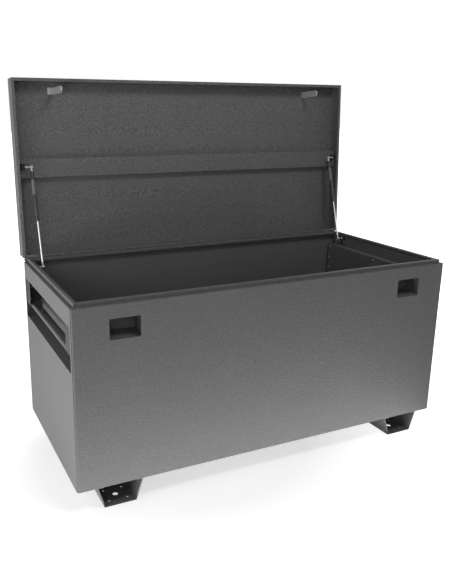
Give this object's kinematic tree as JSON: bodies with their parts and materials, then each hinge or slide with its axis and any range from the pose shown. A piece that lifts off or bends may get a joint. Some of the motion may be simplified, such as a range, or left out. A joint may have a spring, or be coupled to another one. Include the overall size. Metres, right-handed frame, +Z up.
{
  "type": "jobsite storage box",
  "caption": "Steel chest on skids with a hinged lid on gas struts, recessed lifting bars in the ends and hidden padlock ports in the front.",
  "frame": {"origin": "on the floor, at the middle of the four anchor holes in the skids", "axes": "+X to the right along the length, +Y to the rear where the lid is hinged, +Z up"},
  "size_m": [1.524, 0.795, 1.4095],
  "materials": {
    "powder_coat": "fine textured charcoal powder coat",
    "zinc_plate": "bright zinc plate",
    "strut_cylinder": "smooth dark coat with a plain grey label round the cylinder",
    "chromed_rod": "ground and chromed",
    "dark_bracket": "dark matt coat",
    "hinge_pin_steel": "plain drawn steel"
  },
  "bodies": {
    "tub": {"floor_panel": "powder_coat", "front_panel": "powder_coat", "hinge_leaf_tub": "powder_coat", "hinge_pin": "hinge_pin_steel", "hinge_rivets_tub": "powder_coat", "left_end_panel": "powder_coat", "left_front_bar_bracket": "dark_bracket", "left_handle_bar": "powder_coat", "left_lock_bracket": "zinc_plate", "left_lock_housing": "powder_coat", "left_rear_bar_bracket": "dark_bracket", "left_recess_liner": "powder_coat", "left_skid": "powder_coat", "left_tub_ball_stud": "zinc_plate", "left_tub_strut_bracket": "dark_bracket", "rear_panel": "powder_coat", "recess_rivets": "zinc_plate", "right_end_panel": "powder_coat", "right_front_bar_bracket": "dark_bracket", "right_handle_bar": "powder_coat", "right_lock_bracket": "zinc_plate", "right_lock_housing": "powder_coat", "right_rear_bar_bracket": "dark_bracket", "right_recess_liner": "powder_coat", "right_skid": "powder_coat", "right_tub_ball_stud": "zinc_plate", "right_tub_strut_bracket": "dark_bracket", "rim_lip_front": "powder_coat", "rim_lip_left": "powder_coat", "rim_lip_rear": "powder_coat", "rim_lip_right": "powder_coat", "skid_bolts": "zinc_plate", "skid_nuts": "zinc_plate", "tub_bracket_rivets": "zinc_plate", "tub_stud_nuts": "zinc_plate"},
    "lid": {"lid_shell": "powder_coat", "lid_rib": "powder_coat", "hinge_leaf_lid": "powder_coat", "hinge_rivets_lid": "powder_coat", "left_lock_tab": "zinc_plate", "right_lock_tab": "zinc_plate", "lock_tab_rivets": "zinc_plate", "left_lid_strut_bracket": "dark_bracket", "right_lid_strut_bracket": "dark_bracket", "left_lid_ball_stud": "zinc_plate", "right_lid_ball_stud": "zinc_plate", "lid_bracket_rivets": "zinc_plate"},
    "left_rod": {"left_rod_socket": "zinc_plate", "left_strut_rod": "chromed_rod"},
    "left_tube": {"left_strut_gland": "strut_cylinder", "left_strut_tube": "strut_cylinder", "left_tube_socket": "zinc_plate"},
    "right_rod": {"right_rod_socket": "zinc_plate", "right_strut_rod": "chromed_rod"},
    "right_tube": {"right_strut_gland": "strut_cylinder", "right_strut_tube": "strut_cylinder", "right_tube_socket": "zinc_plate"}
  },
  "joints": [
    {"name": "lid_hinge", "type": "hinge", "parent": "tub", "child": "lid", "pos_m": [0, 0.3509, 0.7165], "axis": [1, 0, 0], "range_deg": [0, 93.14]},
    {"name": "left_strut_pivot", "type": "hinge", "parent": "tub", "child": "left_rod", "pos_m": [-0.705, 0.26, 0.7045], "axis": [1, 0, 0], "range_deg": [-0.5, 104.13]},
    {"name": "left_strut_slide", "type": "slide", "parent": "left_rod", "child": "left_tube", "axis": [0, 0.2975, 0.9547], "range_m": [-0.11967, 0.0005]},
    {"name": "right_strut_pivot", "type": "hinge", "parent": "tub", "child": "right_rod", "pos_m": [0.705, 0.26, 0.7045], "axis": [1, 0, 0], "range_deg": [-0.5, 104.13]},
    {"name": "right_strut_slide", "type": "slide", "parent": "right_rod", "child": "right_tube", "axis": [0, 0.2975, 0.9547], "range_m": [-0.11967, 0.0005]}
  ],
  "couplings": [
    {"joint": "left_strut_pivot", "follows": "lid_hinge", "ratio": 1.1126},
    {"joint": "left_strut_slide", "follows": "lid_hinge", "m_per_rad": -0.07331},
    {"joint": "right_strut_pivot", "follows": "lid_hinge", "ratio": 1.1126},
    {"joint": "right_strut_slide", "follows": "lid_hinge", "m_per_rad": -0.07331}
  ]
}
